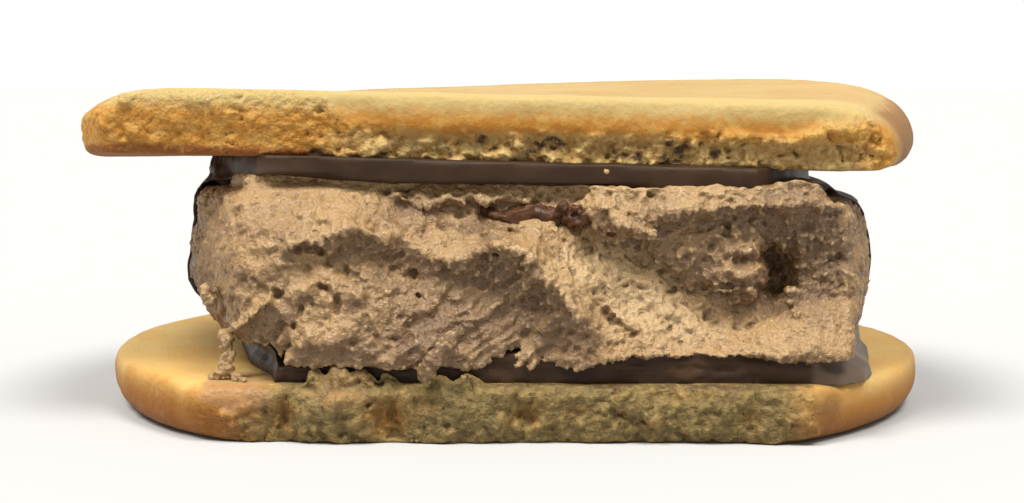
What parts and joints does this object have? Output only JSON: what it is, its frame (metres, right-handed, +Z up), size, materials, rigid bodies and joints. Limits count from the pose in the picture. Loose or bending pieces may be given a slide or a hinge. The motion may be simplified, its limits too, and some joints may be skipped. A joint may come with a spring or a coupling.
{
  "type": "chocolate sandwich biscuit",
  "caption": "Round golden biscuits sandwiching a puck of whipped chocolate cream in a thin dark chocolate coating, bitten open at the front to show every layer.",
  "frame": {"origin": "middle of the footprint, on the surface that the sandwich rests on", "axes": "+Z up through the layers, -Y out of the bitten face, +X along the bitten face to its right as seen from in front"},
  "size_m": [0.0716, 0.0616, 0.0276],
  "materials": {
    "biscuit": "golden baked biscuit, dry and finely pitted, paler open crumb where bitten",
    "chocolate": "thin dark chocolate, satin with a grey sheen",
    "cream": "whipped chocolate cream, torn, grainy, with small greasy glints",
    "caramel": "soft glossy caramel"
  },
  "bodies": {
    "root": {"bottom_biscuit": "biscuit", "chocolate_coating": "chocolate", "cream_filling": "cream", "caramel_ribbon": "caramel", "top_biscuit": "biscuit"}
  },
  "joints": []
}
